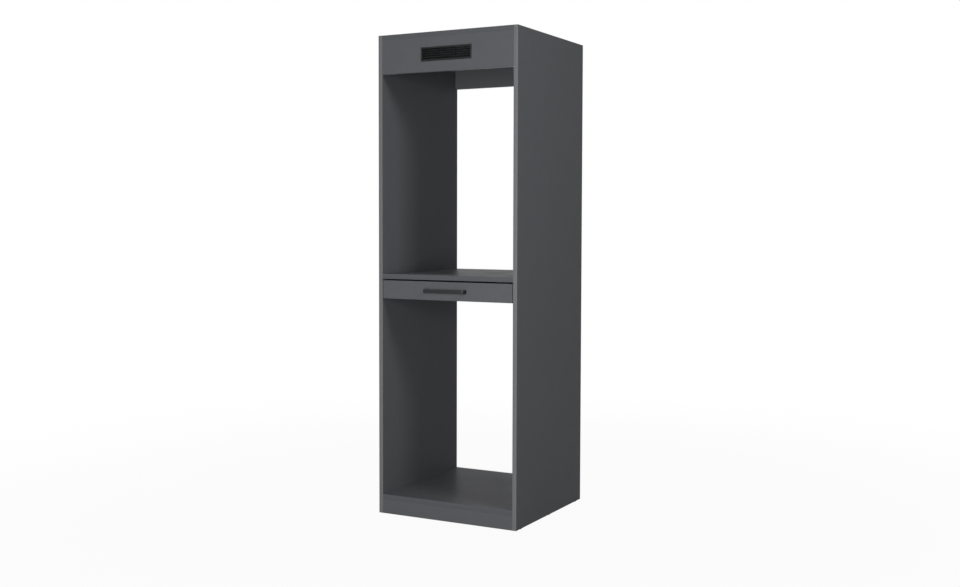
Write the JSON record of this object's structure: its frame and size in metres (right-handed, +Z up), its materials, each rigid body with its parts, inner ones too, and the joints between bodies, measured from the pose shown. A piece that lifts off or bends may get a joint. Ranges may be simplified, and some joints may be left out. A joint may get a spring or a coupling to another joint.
{
  "type": "washing machine cabinet",
  "caption": "Tall open-backed cabinet of anthracite faced board with bays for a washer and a dryer, and between them a pull-out shelf on ball-bearing slides.",
  "frame": {"origin": "on the floor, under the middle of the outline that takes in the handle", "axes": "+X to the right as seen from the front, +Y to the back, +Z up"},
  "size_m": [0.675, 0.695, 2.09],
  "materials": {
    "melamine_board": "matt anthracite melamine-faced chipboard",
    "board_edging": "matt anthracite edging",
    "black_plastic": "fine-grained black moulding",
    "handle_metal": "matt black powder coat",
    "zinc_steel": "bright zinc plating",
    "ball_steel": "polished",
    "cam_zinc": "as cast",
    "dowel_wood": "fluted beech"
  },
  "bodies": {
    "cabinet": {"left_side_panel": "melamine_board", "right_side_panel": "melamine_board", "top_panel": "melamine_board", "dryer_shelf": "melamine_board", "washer_floor": "melamine_board", "top_fascia": "melamine_board", "rear_top_rail": "melamine_board", "rear_mid_rail": "melamine_board", "front_plinth": "melamine_board", "rear_plinth": "melamine_board", "left_edge_band": "board_edging", "right_edge_band": "board_edging", "board_edge_bands": "board_edging", "rail_edge_bands": "board_edging", "vent_grille": "black_plastic", "floor_glides": "black_plastic", "cam_housings": "cam_zinc", "cam_bolts": "zinc_steel", "wooden_dowels": "dowel_wood", "slide_side_screws": "zinc_steel", "left_slide_outer": "zinc_steel", "right_slide_outer": "zinc_steel"},
    "pullout": {"pullout_front": "melamine_board", "pullout_edge_bands": "board_edging", "pullout_board": "melamine_board", "pullout_left_cleat": "melamine_board", "pullout_right_cleat": "melamine_board", "pullout_rear_cleat": "melamine_board", "pullout_cams": "cam_zinc", "pullout_cam_bolts": "zinc_steel", "pullout_dowels": "dowel_wood", "pullout_handle": "handle_metal", "handle_screws": "zinc_steel", "slide_cleat_screws": "zinc_steel", "left_slide_inner": "zinc_steel", "right_slide_inner": "zinc_steel"},
    "left_slide_middle": {"left_slide_middle": "zinc_steel"},
    "left_outer_cage": {"left_outer_cage": "zinc_steel", "left_outer_balls": "ball_steel"},
    "left_inner_cage": {"left_inner_cage": "zinc_steel", "left_inner_balls": "ball_steel"},
    "right_slide_middle": {"right_slide_middle": "zinc_steel"},
    "right_outer_cage": {"right_outer_cage": "zinc_steel", "right_outer_balls": "ball_steel"},
    "right_inner_cage": {"right_inner_cage": "zinc_steel", "right_inner_balls": "ball_steel"}
  },
  "joints": [
    {"name": "pullout_slide", "type": "slide", "parent": "cabinet", "child": "pullout", "axis": [0, -1, 0], "range_m": [0, 0.52]},
    {"name": "left_slide_middle_run", "type": "slide", "parent": "cabinet", "child": "left_slide_middle", "axis": [0, -1, 0], "range_m": [0, 0.26]},
    {"name": "left_outer_cage_run", "type": "slide", "parent": "cabinet", "child": "left_outer_cage", "axis": [0, -1, 0], "range_m": [0, 0.13]},
    {"name": "left_inner_cage_run", "type": "slide", "parent": "cabinet", "child": "left_inner_cage", "axis": [0, -1, 0], "range_m": [0, 0.39]},
    {"name": "right_slide_middle_run", "type": "slide", "parent": "cabinet", "child": "right_slide_middle", "axis": [0, -1, 0], "range_m": [0, 0.26]},
    {"name": "right_outer_cage_run", "type": "slide", "parent": "cabinet", "child": "right_outer_cage", "axis": [0, -1, 0], "range_m": [0, 0.13]},
    {"name": "right_inner_cage_run", "type": "slide", "parent": "cabinet", "child": "right_inner_cage", "axis": [0, -1, 0], "range_m": [0, 0.39]}
  ],
  "couplings": [
    {"joint": "left_slide_middle_run", "follows": "pullout_slide", "ratio": 0.5},
    {"joint": "left_outer_cage_run", "follows": "pullout_slide", "ratio": 0.25},
    {"joint": "left_inner_cage_run", "follows": "pullout_slide", "ratio": 0.75},
    {"joint": "right_slide_middle_run", "follows": "pullout_slide", "ratio": 0.5},
    {"joint": "right_outer_cage_run", "follows": "pullout_slide", "ratio": 0.25},
    {"joint": "right_inner_cage_run", "follows": "pullout_slide", "ratio": 0.75}
  ]
}
